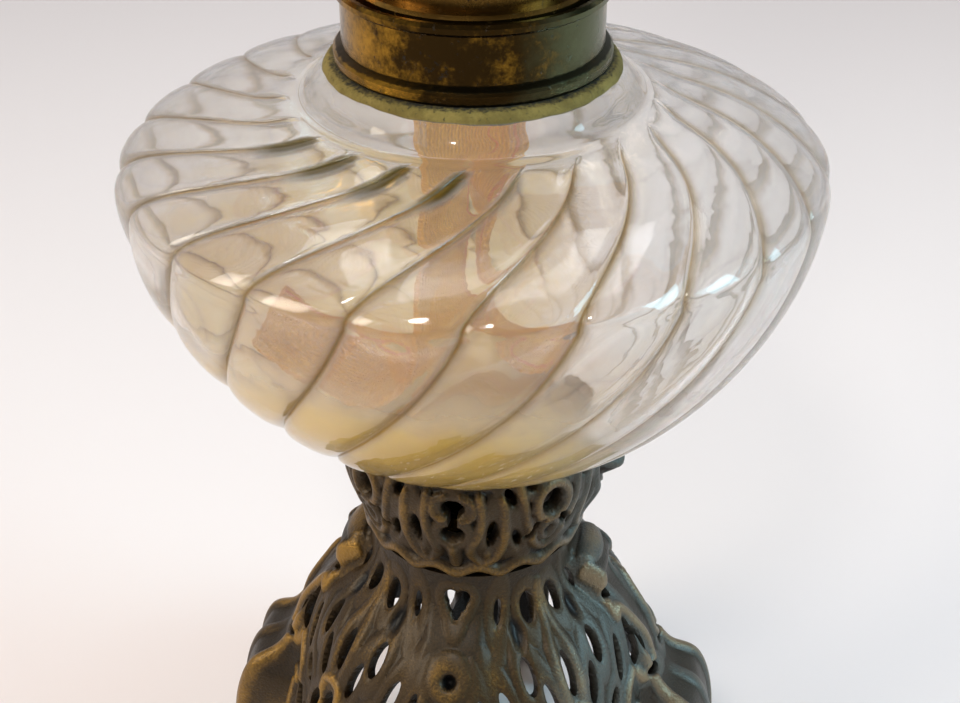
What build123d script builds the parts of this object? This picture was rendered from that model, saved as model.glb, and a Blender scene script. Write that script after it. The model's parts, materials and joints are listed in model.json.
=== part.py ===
"""A table oil lamp: openwork cast pedestal and cup, swirl-ribbed glass font, brass collar,
two-wick burner with winders and extinguisher, chimney gallery and glass chimney."""
from build123d import *
import math
import os

# Driving sizes in millimetres and degrees. The axis is Z, the lamp stands on z = 0, front is -Y.

# Fits
seat_gap = 0.05
slip_gap = 0.3
running_gap = 0.05

# Pedestal casting
pedestal_height = 128.0
pedestal_wall = 4.0
pedestal_waist_radius = 29.0
pedestal_hip_radius = 46.0
pedestal_skirt_radius = 66.0
pedestal_plate = 5.0
leg_count = 4
leg_turn = -9.0
leg_width = 24.0
knee_radius = 72.5
foot_radius = 87.0
foot_thickness = 9.0
boss_radius = 6.0
arch_height = 54.0
arch_width = 62.0

# Font cup casting
cup_height = 34.4
cup_wall = 3.5
cup_base_radius = 31.0
cup_rim_radius = 37.0
cup_floor = 4.0
ear_radius = 5.0
ear_reach = 38.5
ear_length = 16.0
ear_rise = 12.0

# Stud that draws the font down on the castings
stud_radius = 4.0
nut_flats = 13.0
nut_height = 6.5
washer_radius = 11.0
washer_thickness = 1.6

# Font mount, the brass socket on the font's glass peg
peg_radius = 16.0
peg_length = 18.0
cement_thickness = 1.5
mount_wall = 1.2
mount_floor = 3.0

# Glass font
font_radius = 86.7
bowl_depth = 84.6
bowl_power = 1.77
font_floor_radius = 31.0
shoulder_rise = 15.8
shoulder_power = 1.85
shoulder_top_radius = 42.0
font_wall = 5.0
rib_count = 22
rib_depth = 3.0
rib_turn = -17.9
shoulder_twist = 0.78
bowl_twist = 0.27
bowl_twist_growth = 0.0055
neck_height = 11.0
neck_bore = 26.2
neck_wall = 2.6
neck_into_collar = 13.0

# Collar
flange_radius = 33.0
flange_height = 3.4
collar_height = 18.5
collar_wall = 1.2
rim_radius = 32.3
rim_width = 1.8
rim_depth = 2.5
thread_radius = 24.6
thread_wall = 1.3
thread_length = 11.0

# Burner body
burner_bead_radius = 28.0
burner_bead_height = 3.0
recess_radius = 25.0
recess_height = 3.0
flare_height = 4.0
drum_radius = 30.0
drum_height = 19.0
sheet = 0.8
floor_sheet = 1.2
air_hole_radius = 1.4
air_hole_count = 24

# Wicks and their tubes
wick_width = 25.0
wick_thickness = 3.0
wick_spacing = 11.0
wick_room = 0.5
tube_wall = 0.6
tube_above_drum = 19.0
wick_straight_below_tube = 13.0
wick_above_tube = 1.0
tube_below_floor = 3.0
tape_steps = 28
front_turned_by = 0.22
back_turned_by = 0.55
front_quarter_turns = 0.7
back_quarter_turns = -1.0

# Winders
wheel_radius = 6.0
wheel_tooth_depth = 1.2
wheel_teeth = 12
wheel_thickness = 3.0
wheel_offset = 7.0
spindle_radius = 1.6
spindle_height = 8.0
spindle_reach = 50.0
bush_radius = 2.5
bush_flange_radius = 3.4
knob_radius = 10.0
knob_thickness = 4.0
knob_flutes = 20
bracket_x = 17.0

# Extinguisher
sleeve_height = 8.0
sleeve_wall = 1.0
rod_radius = 1.2
lever_pivot_x = 33.0
lever_arm = 12.5
lever_reach = 24.0
lever_width = 4.0
lever_thickness = 2.4
pin_radius = 1.0
cheek_length = 6.0
cheek_thickness = 1.2
pad_size = (5.0, 2.5)

# Gallery, flame spreader and chimney
gallery_sleeve = 6.0
gallery_plate = 1.5
chimney_base_radius = 34.5
chimney_base_height = 22.0
chimney_bulge_radius = 44.0
chimney_top_radius = 22.0
chimney_height = 256.0
chimney_wall = 2.2
prong_count = 8
prong_height = 18.0
prong_slot = 9.0
spreader_radius = 27.0
spreader_rim = 31.5

# Small screws that hold the drum in the burner base
screw_radius = 1.2
screw_count = 3

# Heights worked out from the stack
cup_rim_z = pedestal_height + cup_height
cup_rim_inner = cup_rim_radius - cup_wall


def bowl_drop(radius):
    """How far the bowl's outside lies below the font's widest ring at a given radius."""
    return bowl_depth * (1 - (radius / font_radius) ** bowl_power) ** (1 / bowl_power)


wide_z = cup_rim_z + slip_gap + bowl_drop(cup_rim_inner)
font_floor_z = wide_z - bowl_drop(font_floor_radius)
shoulder_z = wide_z + shoulder_rise
collar_z = shoulder_z + neck_height
neck_radius = neck_bore + neck_wall
collar_top_z = collar_z + collar_height
web_z = collar_top_z - rim_depth
bead_top_z = web_z + burner_bead_height
drum_z = bead_top_z + recess_height + flare_height
drum_top_z = drum_z + drum_height
plate_top_z = drum_top_z + floor_sheet
seat_z = plate_top_z + gallery_plate
tube_top_z = drum_top_z + tube_above_drum
floor_plate_z = bead_top_z + 1.0
spindle_z = drum_z + spindle_height
wick_y = wick_spacing / 2
wheel_tip_y = wick_y + wick_thickness / 2 + slip_gap
spindle_y = wheel_tip_y + wheel_radius
tube_inner = (wick_width + 2 * wick_room, wick_thickness + 2 * wick_room)
tube_outer = (tube_inner[0] + 2 * tube_wall, tube_inner[1] + 2 * tube_wall)
mount_bottom_z = font_floor_z - peg_length - cement_thickness - mount_floor
mount_inner = peg_radius + cement_thickness
stud_bottom_z = pedestal_height - pedestal_plate - washer_thickness - nut_height - 4.0


def upright_face(*lines):
    """Face on the XZ plane inside lines drawn as (radius, height)."""
    return make_face([Plane.XZ * edge for line in lines for edge in line.edges()])


def turned(*lines):
    """Solid of revolution about Z from lines drawn as (radius, height)."""
    return revolve(upright_face(*lines), Axis.Z)


def turned_outline(*points):
    """Solid of revolution about Z from a closed run of straight (radius, height) points."""
    return revolve(Plane.XZ * make_face(Polyline(*points, close=True)), Axis.Z)


def tube(outer, inner, low, high):
    """Plain round tube about Z."""
    return turned_outline((inner, low), (outer, low), (outer, high), (inner, high))


def disc(radius, low, high):
    """Plain round plate about Z."""
    return Pos(0, 0, (low + high) / 2) * Cylinder(radius, high - low)


def block(size_x, size_y, low, high, x=0, y=0):
    """Upright box with its centre at x, y."""
    return Pos(x, y, (low + high) / 2) * Box(size_x, size_y, high - low)


def along_x(radius, start, end, y, z):
    """Round bar along X."""
    return Pos((start + end) / 2, y, z) * Rot(0, 90, 0) * Cylinder(radius, end - start)


def at_angle(shape, angle):
    """Turns a shape drawn on the +X side to an angle counted from the front towards +X."""
    return Rot(0, 0, angle - 90) * shape


def radial_cut(sketch, angle, z, reach):
    """Cutter that runs outwards from the axis with the section given by a sketch."""
    turn = math.radians(angle)
    plane = Plane(
        origin=(0, 0, z),
        x_dir=(math.cos(turn), math.sin(turn), 0),
        z_dir=(math.sin(turn), -math.cos(turn), 0),
    )
    return extrude(plane * sketch, reach)


def heart(width):
    """Heart outline of two round lobes over a point."""
    lobe = width / 4
    lobes = Pos(-lobe, 0) * Circle(lobe) + Pos(lobe, 0) * Circle(lobe)
    point = make_face(Polyline((-2 * lobe, 0), (2 * lobe, 0), (0, -width * 0.7), close=True))
    return lobes + point


def slot(width, height, lean):
    """Upright round-ended slot, leaning by an angle."""
    return Rot(0, 0, lean) * SlotOverall(height, width, rotation=90)


def leg_angles():
    return [leg_turn + 360 / leg_count * i for i in range(leg_count)]


def pedestal_outside():
    """Points of the panels' outside from the waist down to the skirt."""
    return [
        (pedestal_waist_radius, pedestal_height),
        (pedestal_waist_radius + 0.5, pedestal_height - 8),
        (pedestal_hip_radius - 6, pedestal_height - 20),
        (pedestal_hip_radius, pedestal_height - 27),
        ((pedestal_hip_radius + pedestal_skirt_radius) / 2, pedestal_height * 0.5),
        (pedestal_skirt_radius, foot_thickness * 2),
    ]


def pedestal_shell():
    """Hollow turned wall with a plate across its top for the stud."""
    outside = pedestal_outside()
    inside = [(radius - pedestal_wall, z) for radius, z in outside]
    top_z = pedestal_height
    low_z = outside[-1][1]
    axis = Line((0, low_z), (0, top_z))
    body = turned(Spline(*outside), Line(outside[-1], axis @ 0), axis, Line(axis @ 1, outside[0]))
    hollow = turned(Spline(*inside), Line(inside[-1], axis @ 0), axis, Line(axis @ 1, inside[0]))
    plate = disc(pedestal_waist_radius - pedestal_wall / 2, top_z - pedestal_plate, top_z)
    return body - hollow + plate - disc(stud_radius + running_gap, top_z - 2 * pedestal_plate, top_z + 1)


def pedestal_piercings():
    """Openwork of one quarter, mirrored about its leg: heart, slits, pears, a fan of slots, crescents."""
    reach = pedestal_skirt_radius + pedestal_wall
    cuts = []
    for leg in leg_angles():
        cuts.append(radial_cut(heart(9), leg, pedestal_height - 12, reach))
        for side in (-1, 1):
            cuts.append(radial_cut(slot(2.2, 9, 0), leg + side * 20, pedestal_height - 13, reach))
            cuts.append(radial_cut(slot(4.5, 8, 0), leg + side * 38, pedestal_height - 12, reach))
            cuts.append(radial_cut(slot(3.2, 15, side * 12), leg + side * 13, pedestal_height - 35, reach))
            cuts.append(radial_cut(slot(3.2, 17, side * 20), leg + side * 25, pedestal_height - 34, reach))
            cuts.append(radial_cut(slot(5.0, 12, side * 24), leg + side * 37, pedestal_height - 30, reach))
            cuts.append(radial_cut(slot(6.0, 16, side * 30), leg + side * 28, pedestal_height - 62, reach))
    return cuts


def pedestal_arches():
    """Round-headed openings between the feet."""
    reach = foot_radius * 2
    rise = arch_height - arch_width / 2
    head = Circle(arch_width / 2) + Pos(0, -arch_height) * Rectangle(arch_width, 2 * arch_height)
    step = 360 / leg_count
    return [radial_cut(head, leg + step / 2, rise, reach) for leg in leg_angles()]


def scroll_leg():
    """One leg on the +X side: a plate with a swelling knee, a toe and rolled bosses."""
    top_z = pedestal_height
    knee_z = top_z * 0.37
    brow = (knee_radius - 16, top_z * 0.61)
    outside = Spline(
        (pedestal_hip_radius - 5, top_z - 18), (pedestal_hip_radius + 4, top_z - 36), brow
    )
    knee = Spline(
        brow, (knee_radius - 5, top_z * 0.56), (knee_radius, knee_z),
        (knee_radius - 5, foot_thickness * 2.8), (foot_radius - 12, foot_thickness),
    )
    toe_x = foot_radius - foot_thickness / 2
    toe = Polyline(knee @ 1, (toe_x, foot_thickness), (foot_radius, foot_thickness / 2), (toe_x, 0),
                   (pedestal_skirt_radius - 6, 0))
    inner = Spline(toe @ 1, (pedestal_skirt_radius - 8, foot_thickness * 3),
                   (pedestal_hip_radius + 4, top_z * 0.6), (pedestal_hip_radius - 8, top_z - 19))
    close = Line(inner @ 1, outside @ 0)
    leg = extrude(upright_face(outside, knee, toe, inner, close), leg_width / 2, both=True)
    for radius, z in ((pedestal_hip_radius - 8, top_z - 17), (brow[0] + 2, brow[1] - 1)):
        leg += Pos(radius, 0, z) * Rot(90, 0, 0) * Cylinder(boss_radius, leg_width)
    return leg


def pedestal():
    """Openwork casting: pierced wall, arches between the feet, four scroll legs."""
    wall = pedestal_shell() - pedestal_piercings()
    legs = [at_angle(scroll_leg(), leg) for leg in leg_angles()]
    return wall - pedestal_arches() + legs


def cup_wall_solid():
    """Cup wall, floor and bead from the bottom ring to the rim."""
    low_z = pedestal_height
    middle = (cup_base_radius + cup_rim_radius) / 2
    outside = Spline(
        (cup_base_radius, low_z), (middle + 1, low_z + cup_height / 2), (cup_rim_radius, cup_rim_z)
    )
    body = turned(outside, Line(outside @ 1, (0, cup_rim_z)), Line((0, cup_rim_z), (0, low_z)),
                  Line((0, low_z), outside @ 0))
    inside = Spline((cup_base_radius - cup_wall, low_z), (middle + 1 - cup_wall, low_z + cup_height / 2),
                    (cup_rim_inner, cup_rim_z))
    hollow = turned(inside, Line(inside @ 1, (0, cup_rim_z)), Line((0, cup_rim_z), (0, low_z)),
                    Line((0, low_z), inside @ 0))
    bead = Pos(0, 0, low_z + 2.5) * Torus(cup_base_radius, 2.0)
    return body - hollow + disc(cup_base_radius - 1, low_z, low_z + cup_floor) + bead


def font_cup():
    """Openwork cup: eight cross-shaped windows, slits between them and four rolled ears."""
    cup = cup_wall_solid()
    reach = cup_rim_radius + ear_radius
    window_z = pedestal_height + cup_height * 0.62
    cuts = [disc(stud_radius + running_gap, pedestal_height - 1, pedestal_height + cup_floor + 1)]
    for i in range(2 * leg_count):
        angle = leg_turn + 180 / leg_count * i
        cross = SlotOverall(11, 4.5) + SlotOverall(15, 4.5, rotation=90)
        cuts.append(radial_cut(cross, angle, window_z, reach))
        cuts.append(radial_cut(slot(2.4, 10, 0), angle + 90 / leg_count, window_z - 7, reach))
    cup -= cuts
    for leg in leg_angles():
        ear = Rot(90, 0, 0) * Cylinder(ear_radius, ear_length)
        ear = Pos(ear_reach - ear_radius, 0, pedestal_height + ear_rise) * ear
        inner = disc(cup_base_radius, pedestal_height, cup_rim_z)
        cup += at_angle(ear, leg) - inner
    return cup


def font_stud():
    """Draw stud from the font mount down through both castings."""
    return disc(stud_radius, stud_bottom_z, mount_bottom_z)


def stud_washer():
    top = pedestal_height - pedestal_plate
    return tube(washer_radius, stud_radius + running_gap, top - washer_thickness, top)


def stud_nut():
    top = pedestal_height - pedestal_plate - washer_thickness
    hexagon = RegularPolygon(nut_flats / 2, 6, major_radius=False) - Circle(stud_radius + running_gap)
    return Pos(0, 0, top - nut_height) * extrude(hexagon, nut_height)


def font_mount():
    """Brass socket round the font's glass peg, standing on the cup's floor."""
    outer = mount_inner + mount_wall
    floor_z = pedestal_height + cup_floor
    socket = turned_outline(
        (0, mount_bottom_z), (outer, mount_bottom_z), (outer, font_floor_z - slip_gap),
        (mount_inner, font_floor_z - slip_gap), (mount_inner, mount_bottom_z + mount_floor),
        (0, mount_bottom_z + mount_floor),
    )
    if mount_bottom_z > floor_z:
        socket += tube(peg_radius, stud_radius + running_gap, floor_z, mount_bottom_z)
    return socket


def mount_cement():
    """Plaster between the glass peg and its brass socket."""
    low = mount_bottom_z + mount_floor
    cup = disc(mount_inner - seat_gap, low + seat_gap, font_floor_z - 2)
    return cup - disc(peg_radius + seat_gap, low + cement_thickness - seat_gap, font_floor_z)


def bowl_station(step):
    """Radius, height, rib depth and turn of the bowl's outside, 0 at the widest ring to 1 at the floor."""
    stop = math.acos((font_floor_radius / font_radius) ** (bowl_power / 2))
    angle = stop * step
    radius = font_radius * math.cos(angle) ** (2 / bowl_power)
    drop = bowl_depth * math.sin(angle) ** (2 / bowl_power)
    depth = rib_depth * math.cos(angle) ** 0.7
    turn = rib_turn - bowl_twist * drop - bowl_twist_growth * drop ** 2
    return radius, wide_z - drop, depth, turn


def shoulder_station(step):
    """Radius, height, rib depth and turn of the shoulder, 0 at the widest ring to 1 at the neck."""
    angle = math.pi / 2 * step
    reach = max(math.cos(angle), 0) ** (2 / shoulder_power)
    radius = shoulder_top_radius + (font_radius - shoulder_top_radius) * reach
    rise = shoulder_rise * math.sin(angle) ** (2 / shoulder_power)
    turn = rib_turn + shoulder_twist * (font_radius - radius)
    return radius, wide_z + rise, rib_depth * reach ** 0.5, turn


def lobed_face(radius, z, depth, turn):
    """Level section of the font: a closed curve with one hollow for each groove."""
    points = []
    count = rib_count * 4
    for i in range(count):
        angle = 2 * math.pi * i / count
        lobed = radius - depth * (0.5 + 0.5 * math.cos(rib_count * angle))
        around = angle + math.radians(turn)
        points.append((lobed * math.sin(around), -lobed * math.cos(around), z))
    return make_face(Spline(*points, periodic=True))


def font_outside():
    """Swirl-ribbed bowl and shoulder, lofted through level sections."""
    stations = [bowl_station(1 - i / 7) for i in range(7)]
    stations += [shoulder_station(i / 6) for i in range(7)]
    return loft([lobed_face(*station) for station in stations])


def font_neck():
    """Neck with a round bead over the shoulder, then a plain stem that the collar covers."""
    low = shoulder_z - 2
    top = collar_z + neck_into_collar
    bead = ThreePointArc(
        (shoulder_top_radius - 1, shoulder_z), (shoulder_top_radius - 1, shoulder_z + 5),
        (flange_radius + 2, collar_z - 2)
    )
    return turned(
        Line((0, low), (shoulder_top_radius - 1, low)),
        Line((shoulder_top_radius - 1, low), bead @ 0), bead,
        Line(bead @ 1, (neck_radius, collar_z)), Line((neck_radius, collar_z), (neck_radius, top)),
        Line((neck_radius, top), (0, top)), Line((0, top), (0, low))
    )


def font_inside():
    """Smooth hollow of the font, open at the neck."""
    shrink = (font_radius - font_wall) / font_radius
    bowl = []
    for i in range(7):
        radius, z, _, _ = bowl_station(1 - i / 6)
        bowl.append((radius * shrink, z + font_wall * (1 - i / 6)))
    shoulder = [bowl[-1]]
    for i in range(1, 6):
        radius, z, _, _ = shoulder_station(i / 6)
        shoulder.append((radius - font_wall * (1 - i / 6), z - font_wall * i / 6))
    neck_low = (neck_bore, shoulder_z - font_wall)
    shoulder.append(neck_low)
    top = collar_z + neck_into_collar + 1
    floor_z = bowl[0][1]
    return turned(
        Line((0, floor_z), bowl[0]), Spline(*bowl), Spline(*shoulder), Line(neck_low, (neck_bore, top)),
        Line((neck_bore, top), (0, top)), Line((0, top), (0, floor_z))
    )


def glass_font():
    """Blown font with its solid peg below."""
    peg = disc(peg_radius, font_floor_z - peg_length, font_floor_z + 1)
    return font_outside() + font_neck() + peg - font_inside()


def collar_cement():
    """Plaster between the glass neck and the collar, showing as a band under the flange."""
    wall_inner = rim_radius - rim_width - collar_wall + 0.5
    top = collar_z + neck_into_collar
    return turned_outline(
        (neck_radius + seat_gap, collar_z + seat_gap), (flange_radius - 1, collar_z - 0.8),
        (flange_radius, collar_z - seat_gap), (wall_inner - seat_gap, collar_z - seat_gap),
        (wall_inner - seat_gap, top), (neck_radius + seat_gap, top),
    )


def collar():
    """Spun brass collar: flange, wall, rolled rim, recessed web and threaded sleeve."""
    wall_outer = rim_radius - rim_width + 0.5
    wall_inner = wall_outer - collar_wall
    bore = thread_radius + slip_gap
    flange_top = collar_z + flange_height
    rim_inner = rim_radius - rim_width
    return turned_outline(
        (wall_inner, collar_z), (flange_radius - 0.6, collar_z), (flange_radius, collar_z + 0.8),
        (flange_radius, flange_top - 0.8), (flange_radius - 0.8, flange_top),
        (wall_outer, flange_top + 0.6),
        (wall_outer, collar_top_z - 3), (rim_radius, collar_top_z - 2), (rim_radius, collar_top_z - 0.8),
        (rim_radius - 0.8, collar_top_z), (rim_inner, collar_top_z), (rim_inner, web_z), (bore, web_z),
        (bore, web_z - thread_length), (bore + thread_wall, web_z - thread_length),
        (bore + thread_wall, web_z - collar_wall - 1), (wall_inner, web_z - collar_wall - 1),
    )


def burner_base():
    """Screwed skirt, resting bead, recess and flare, with a lip that takes the drum."""
    bore = thread_radius - thread_wall
    lip = drum_radius + seat_gap
    return turned_outline(
        (bore, web_z - thread_length), (thread_radius, web_z - thread_length), (thread_radius, web_z),
        (burner_bead_radius - 0.8, web_z), (burner_bead_radius, web_z + 0.8),
        (burner_bead_radius, bead_top_z - 0.8), (burner_bead_radius - 0.8, bead_top_z),
        (recess_radius, bead_top_z), (recess_radius, bead_top_z + recess_height),
        (lip + sheet, drum_z), (lip + sheet, drum_z + 3), (lip, drum_z + 3), (lip, drum_z),
        (drum_radius - sheet, drum_z), (recess_radius - sheet, bead_top_z + recess_height),
        (recess_radius - sheet, floor_plate_z), (bore, floor_plate_z),
    )


def tube_slots(gap, low, high):
    """Cutters for the two wick tubes to pass through a plate."""
    size_x = tube_outer[0] + 2 * gap
    size_y = tube_outer[1] + 2 * gap
    return [block(size_x, size_y, low, high, 0, side * wick_y) for side in (-1, 1)]


def burner_floor():
    """Plate that closes the burner under the drum and carries the wick tubes."""
    low = floor_plate_z
    plate = disc(recess_radius - sheet - seat_gap, low, low + floor_sheet)
    vent = Pos(18, 0, low) * Cylinder(2, 4 * floor_sheet)
    return plate - tube_slots(seat_gap, low - 1, low + 2) - [vent]


def wick_tube(side):
    """Flat tube with two windows on its outer face for the winder's wheels."""
    low = floor_plate_z - tube_below_floor
    outer = block(*tube_outer, low, tube_top_z, 0, side * wick_y)
    inner = block(*tube_inner, low - 1, tube_top_z + 1, 0, side * wick_y)
    window_y = side * (wick_y + tube_outer[1] / 2)
    reach = wheel_radius + slip_gap + running_gap
    windows = [
        block(wheel_thickness + 2, 3, spindle_z - reach, spindle_z + reach, x, window_y)
        for x in (-wheel_offset, wheel_offset)
    ]
    return outer - inner - windows


def drum():
    """Air drum with a ring of holes, two holes for the winders and a slot for the lever."""
    wall = tube(drum_radius, drum_radius - sheet, drum_z, drum_top_z)
    hole_z = drum_top_z - 3.5
    cuts = []
    for i in range(air_hole_count):
        angle = 360 / air_hole_count * (i + 0.5)
        cuts.append(radial_cut(Circle(air_hole_radius), angle, hole_z, drum_radius + 1))
    for side in (-1, 1):
        cuts.append(along_x(bush_radius + seat_gap, 0, drum_radius + 1, side * spindle_y, spindle_z))
    cuts.append(block(8, lever_width + 2, spindle_z - 5, spindle_z + 5, -drum_radius, 0))
    return wall - cuts


def drum_screws():
    """Round-head screws through the base's lip into the drum."""
    screws = []
    for i in range(screw_count):
        inner = drum_radius + 2 * seat_gap + sheet
        head = Pos(inner + 0.6, 0, drum_z + 1.5) * Rot(0, 90, 0) * Cylinder(screw_radius, 1.2)
        screws.append(at_angle(head, 30 + 360 / screw_count * i))
    return Compound(children=screws)


def winder_bracket():
    """Plate inside the drum that carries the inner ends of both spindles."""
    low = floor_plate_z + floor_sheet
    width = 2 * spindle_y + 4 * spindle_radius
    plate = block(floor_sheet, width, low + 1, spindle_z + 2 * spindle_radius, -bracket_x, 0)
    foot = block(5, wick_spacing, low, low + 1, -bracket_x - 2.5 + floor_sheet / 2, 0)
    neck = block(floor_sheet, wick_spacing, low, low + 2, -bracket_x, 0)
    holes = [
        along_x(spindle_radius + running_gap, -bracket_x - 3, -bracket_x + 3, side * spindle_y, spindle_z)
        for side in (-1, 1)
    ]
    return plate + foot + neck - holes


def drum_wall_x():
    """Where a spindle's centre line leaves the drum."""
    return math.sqrt(drum_radius ** 2 - spindle_y ** 2)


def winder_bushes():
    """Flanged bushes in the drum wall, one for each spindle."""
    wall_x = drum_wall_x()
    flange_x = math.sqrt(drum_radius ** 2 - (spindle_y - bush_flange_radius) ** 2) + seat_gap
    bushes = []
    for side in (-1, 1):
        y = side * spindle_y
        bush = along_x(bush_radius, wall_x - 5, flange_x + 1, y, spindle_z)
        bush += along_x(bush_flange_radius, flange_x, flange_x + 1.5, y, spindle_z)
        bush -= along_x(spindle_radius + running_gap, wall_x - 6, flange_x + 3, y, spindle_z)
        bushes.append(bush)
    return Compound(children=bushes)


def winder_spindle(side):
    """Spindle from the bracket through the drum wall out to the knob."""
    return along_x(spindle_radius, -bracket_x - 2, spindle_reach, side * spindle_y, spindle_z)


def toothed_disc(radius, depth, teeth, thickness):
    """Disc with pointed teeth, drawn flat and then stood on the X axis."""
    points = []
    for i in range(2 * teeth):
        reach = radius - depth * (i % 2)
        angle = math.pi * i / teeth
        points.append((reach * math.cos(angle), reach * math.sin(angle)))
    flat = make_face(Polyline(*points, close=True)) - Circle(spindle_radius + seat_gap)
    return Rot(0, 90, 0) * Pos(0, 0, -thickness / 2) * extrude(flat, thickness)


def spur_wheels(side):
    """The two toothed wheels that bite the wick."""
    wheel = toothed_disc(wheel_radius, wheel_tooth_depth, wheel_teeth, wheel_thickness)
    places = (-wheel_offset, wheel_offset)
    return Compound(children=[Pos(x, side * spindle_y, spindle_z) * wheel for x in places])


def winder_knob(side):
    """Milled knob with a hub, on the spindle's outer end."""
    rim = Pos(spindle_reach - knob_thickness / 2, side * spindle_y, spindle_z)
    knob = rim * toothed_disc(knob_radius, 0.8, knob_flutes, knob_thickness)
    hub = along_x(2.5 * spindle_radius, spindle_reach - knob_thickness - 4, spindle_reach - knob_thickness,
                  side * spindle_y, spindle_z)
    bore = along_x(spindle_radius + seat_gap, 0, spindle_reach + 1, side * spindle_y, spindle_z)
    return knob + hub - bore


def air_plate():
    """Perforated plate on top of the drum that spreads the draught."""
    plate = disc(drum_radius, drum_top_z, plate_top_z)
    cuts = tube_slots(seat_gap, drum_top_z - 1, plate_top_z + 1)
    cuts.append(Pos(-rod_x(), 0, drum_top_z) * Cylinder(rod_radius + slip_gap, 4))
    for i in range(air_hole_count):
        angle = 360 / air_hole_count * (i + 0.5)
        cuts.append(at_angle(Pos(drum_radius - 5, 0, drum_top_z) * Cylinder(air_hole_radius, 4), angle))
    return plate - cuts


def rod_x():
    """Distance of the extinguisher's lifting rod from the axis."""
    return lever_pivot_x - lever_arm


def extinguisher_sleeve():
    """Frame that slides up round both wick tubes, with its lifting rod down into the drum."""
    low = plate_top_z + slip_gap
    size_x = tube_outer[0] + 2 * (slip_gap + sleeve_wall)
    size_y = wick_spacing + tube_outer[1] + 2 * (slip_gap + sleeve_wall)
    high = low + sleeve_height
    frame = block(size_x, size_y, low, high) - tube_slots(slip_gap, low - 1, high + 1)
    arm = block(rod_x(), lever_width, low, low + 2, -rod_x() / 2 - rod_radius, 0)
    arm -= block(size_x, size_y, low - 1, low + 3)
    rod = Pos(-rod_x(), 0, 0) * disc(rod_radius, spindle_z + lever_thickness / 2 + 2 * slip_gap, low + 1)
    return frame + arm + rod


def extinguisher_lever():
    """Flat lever through the drum's slot, with a thumb tab outside."""
    low = spindle_z - lever_thickness / 2
    high = spindle_z + lever_thickness / 2
    outer_x = -lever_pivot_x - lever_reach
    inner_x = -rod_x() + rod_radius
    bar = block(inner_x - outer_x, lever_width, low, high, (inner_x + outer_x) / 2, 0)
    tab = Pos(outer_x, 0, spindle_z) * Cylinder(2 * lever_width, lever_thickness)
    hole = Rot(90, 0, 0) * Cylinder(pin_radius + running_gap, 4 * lever_width)
    hole = Pos(-lever_pivot_x, 0, spindle_z) * hole
    return bar + tab - hole


def lever_bracket():
    """Pair of cheeks on the drum's outside that hold the lever's pin."""
    cheek_y = lever_width / 2 + slip_gap + cheek_thickness / 2
    low = spindle_z - cheek_length / 2
    high = spindle_z + cheek_length / 2
    hole = Rot(90, 0, 0) * Cylinder(pin_radius + running_gap, drum_radius)
    hole = Pos(-lever_pivot_x, 0, spindle_z) * hole
    drum_room = disc(drum_radius + seat_gap, drum_z, drum_top_z)
    cheeks = []
    for side in (-1, 1):
        cheek = block(cheek_length, cheek_thickness, low, high, -lever_pivot_x, side * cheek_y)
        pad = block(pad_size[0], pad_size[1], low, high, 2 - lever_pivot_x, side * (cheek_y + 1))
        cheeks.append(cheek + pad - drum_room - hole)
    return Compound(children=cheeks)


def lever_pin():
    length = lever_width + 2 * slip_gap + 3 * cheek_thickness
    return Pos(-lever_pivot_x, 0, spindle_z) * Rot(90, 0, 0) * Cylinder(pin_radius, length)


def gallery():
    """Ring that slips over the drum and holds the chimney in a crown of prongs."""
    sleeve_inner = drum_radius + slip_gap
    crown_inner = chimney_base_radius + 2 * slip_gap
    crown_outer = crown_inner + sheet
    sleeve = tube(sleeve_inner + sheet, sleeve_inner, drum_top_z - gallery_sleeve, seat_z)
    seat = tube(crown_outer, spreader_radius + 1, plate_top_z, seat_z)
    crown = tube(crown_outer, crown_inner, plate_top_z, seat_z + prong_height)
    slots = [
        radial_cut(Pos(0, prong_height / 2 + 3) * SlotOverall(prong_height, prong_slot, rotation=90),
                   360 / prong_count * i, seat_z + 3, crown_outer + 2)
        for i in range(prong_count)
    ]
    return sleeve + seat + (crown - slots)


def dome(radius):
    """Half ball standing on the gallery's seat."""
    return Pos(0, 0, seat_z) * Sphere(radius, 0, 90, align=(Align.CENTER, Align.CENTER, Align.MIN))


def flame_spreader():
    """Domed cap over the wick tubes with a slot for each flame."""
    cap = dome(spreader_radius) - dome(spreader_radius - sheet)
    rim = tube(spreader_rim, spreader_radius - sheet, seat_z, seat_z + sheet)
    slots = tube_slots(wick_room, seat_z + spreader_radius / 2, seat_z + spreader_radius + 1)
    return cap + rim - slots


def chimney():
    """Blown chimney: straight foot, bulge over the flames, long taper and a plain lip."""
    top = seat_z + chimney_height
    foot_top = seat_z + chimney_base_height

    def outline(inset):
        foot = Line((chimney_base_radius - inset, seat_z), (chimney_base_radius - inset, foot_top))
        body = Spline(
            foot @ 1, (chimney_bulge_radius - inset, seat_z + chimney_height * 0.24),
            (chimney_top_radius + 6 - inset, seat_z + chimney_height * 0.52),
            (chimney_top_radius - inset, seat_z + chimney_height * 0.75), (chimney_top_radius - inset, top),
            tangents=((0, 1), (0, 1)),
        )
        axis = Line((0, top), (0, seat_z))
        return [foot, body, Line(body @ 1, axis @ 0), axis, Line(axis @ 1, foot @ 0)]

    return turned(*outline(0)) - turned(*outline(chimney_wall))


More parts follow.
